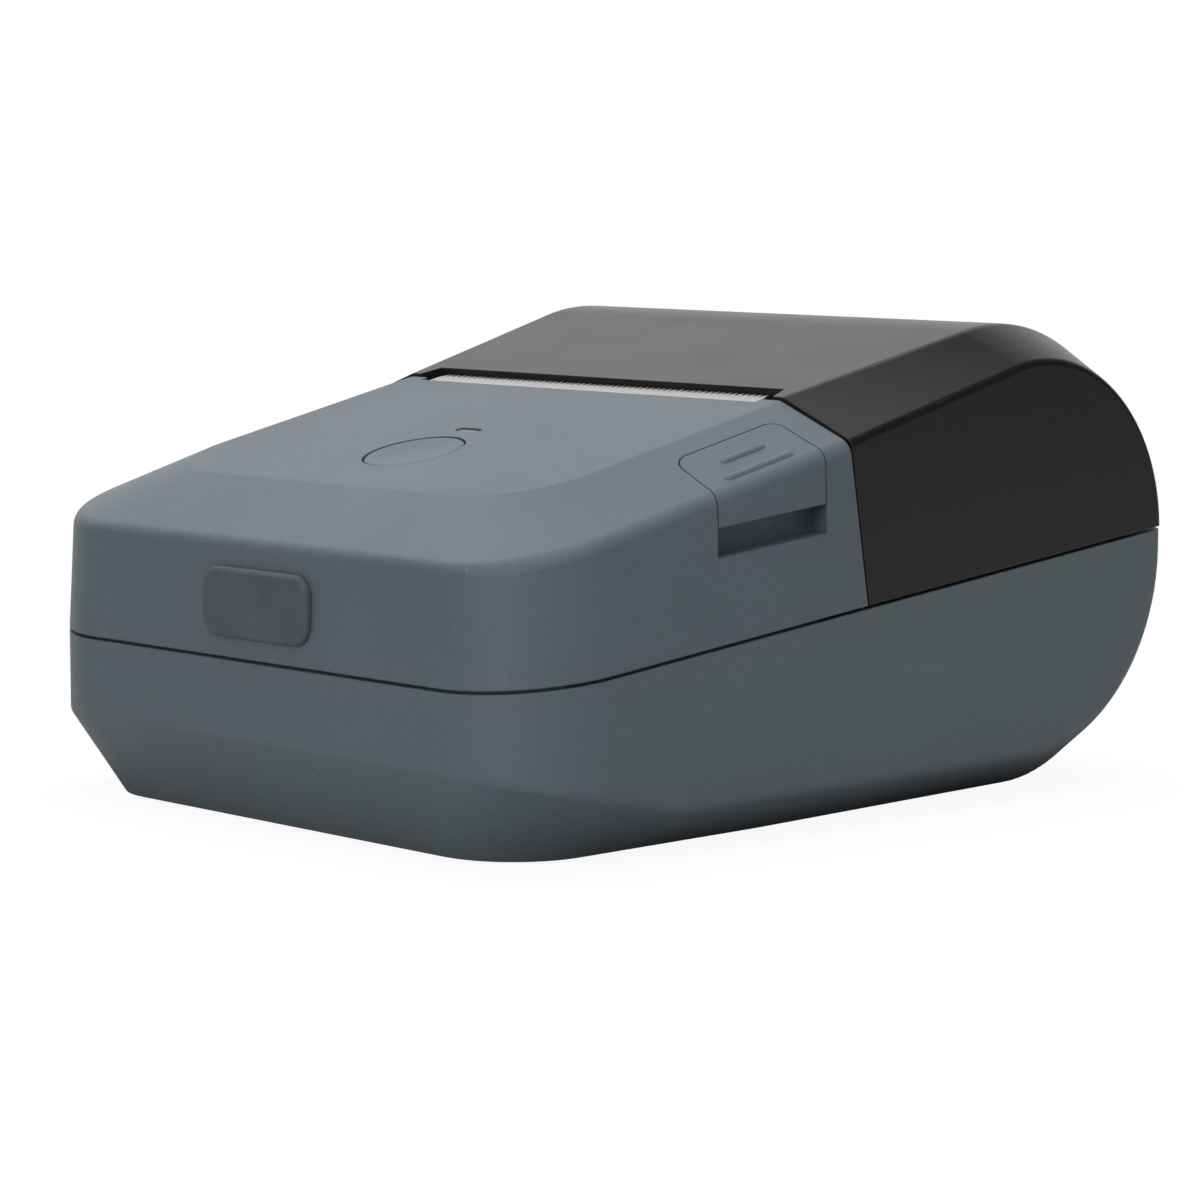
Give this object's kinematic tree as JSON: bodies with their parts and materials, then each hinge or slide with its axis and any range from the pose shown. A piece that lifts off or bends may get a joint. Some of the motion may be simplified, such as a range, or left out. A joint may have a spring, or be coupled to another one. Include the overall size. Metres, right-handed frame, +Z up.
{
  "type": "portable label printer",
  "caption": "Hand-size label printer: wedge-shaped casing with a hinged rear cover over the label roll, a cutter strip, a power button and a sliding latch.",
  "frame": {"origin": "under the middle of the whole printer, on the surface that it stands on", "axes": "+X to the side with the latch button, +Y to the rear with the label roll, +Z up"},
  "size_m": [0.107, 0.132, 0.0674],
  "materials": {
    "casing": "fine satin texture, blue grey",
    "cover": "fine satin texture, near black",
    "steel_bright": "bright cut strip",
    "rubber_flap": "matt dark grey rubber",
    "lens": "pale diffuser",
    "board": "solder mask",
    "chip": "moulded packages",
    "steel": "plain steel",
    "spring": "spring steel",
    "alloy": "extruded",
    "motor": "drawn can",
    "black_rubber": "matt",
    "gear": "natural acetal",
    "frame": "glass-filled black",
    "battery": "shrink sleeve",
    "head": "glazed heater board",
    "guide": "smooth black"
  },
  "bodies": {
    "base": {"lower_shell": "casing", "upper_shell": "casing", "tear_bar": "steel_bright", "led_lens": "lens", "key_board": "board", "key_switch": "chip", "key_board_screws": "steel", "usb_socket": "steel", "main_board": "board", "board_chips": "chip", "board_screws": "steel", "battery_pack": "battery", "casing_screws": "steel", "rubber_feet": "black_rubber", "print_frame": "frame", "frame_screws": "steel", "head_heatsink": "alloy", "head_board": "head", "head_pivot_pin": "steel", "head_springs": "spring", "motor_body": "motor", "motor_screws": "steel", "idler_pin": "steel", "hinge_pins": "steel", "paper_bin": "guide", "latch_spring": "spring"},
    "lid": {"lid_shell": "cover", "lid_liner": "frame", "lid_screws": "steel", "platen_bushes": "gear"},
    "platen": {"platen_roller": "black_rubber", "platen_shaft": "steel", "platen_gear": "gear"},
    "idler": {"idler_gear": "gear"},
    "motor_rotor": {"motor_shaft": "steel", "motor_pinion": "gear"},
    "power_key": {"power_button": "casing"},
    "latch_key": {"latch_button": "casing"},
    "latch_bar": {"latch_hooks": "steel"},
    "port_flap": {"port_cover": "rubber_flap"},
    "guide_l": {"guide_left": "guide"},
    "guide_r": {"guide_right": "guide"},
    "guide_gear": {"guide_pinion": "gear"}
  },
  "joints": [
    {"name": "lid_hinge", "type": "hinge", "parent": "base", "child": "lid", "pos_m": [0, 0.0632, 0.0375], "axis": [-1, 0, 0], "range_deg": [0, 88]},
    {"name": "platen_spin", "type": "hinge", "parent": "lid", "child": "platen", "pos_m": [0, 0.0027, 0.0472], "axis": [1, 0, 0], "continuous": true},
    {"name": "idler_spin", "type": "hinge", "parent": "base", "child": "idler", "pos_m": [0, 0.00038, 0.03238], "axis": [1, 0, 0], "continuous": true},
    {"name": "motor_spin", "type": "hinge", "parent": "base", "child": "motor_rotor", "pos_m": [0, -0.01146, 0.02806], "axis": [1, 0, 0], "continuous": true},
    {"name": "power_press", "type": "slide", "parent": "base", "child": "power_key", "axis": [0, 0.219, -0.9757], "range_m": [0, 0.0008], "stiffness_N_per_m": 600},
    {"name": "latch_turn", "type": "hinge", "parent": "base", "child": "latch_bar", "pos_m": [0, -0.0137, 0.0422], "axis": [1, 0, 0], "range_deg": [0, 15], "stiffness_Nm_per_rad": 0.05, "springref_deg": -11.46},
    {"name": "latch_slide", "type": "slide", "parent": "base", "child": "latch_key", "axis": [0, 0, -1], "range_m": [0, 0.0024]},
    {"name": "flap_pull", "type": "slide", "parent": "base", "child": "port_flap", "axis": [0, -1, 0], "range_m": [0, 0.006]},
    {"name": "guide_close", "type": "slide", "parent": "base", "child": "guide_l", "axis": [1, 0, 0], "range_m": [0, 0.015]},
    {"name": "guide_follow", "type": "slide", "parent": "base", "child": "guide_r", "axis": [-1, 0, 0], "range_m": [0, 0.015]},
    {"name": "guide_turn", "type": "hinge", "parent": "base", "child": "guide_gear", "pos_m": [0, 0.0188, 0.0042], "axis": [0, 0, 1], "range_deg": [-175, 5]}
  ],
  "couplings": [
    {"joint": "idler_spin", "follows": "platen_spin", "ratio": -0.66667},
    {"joint": "motor_spin", "follows": "platen_spin", "ratio": 1.6667},
    {"joint": "latch_slide", "follows": "latch_turn", "m_per_rad": 0.0091673},
    {"joint": "guide_follow", "follows": "guide_close", "ratio": 1},
    {"joint": "guide_turn", "follows": "guide_close", "rad_per_m": -200}
  ]
}
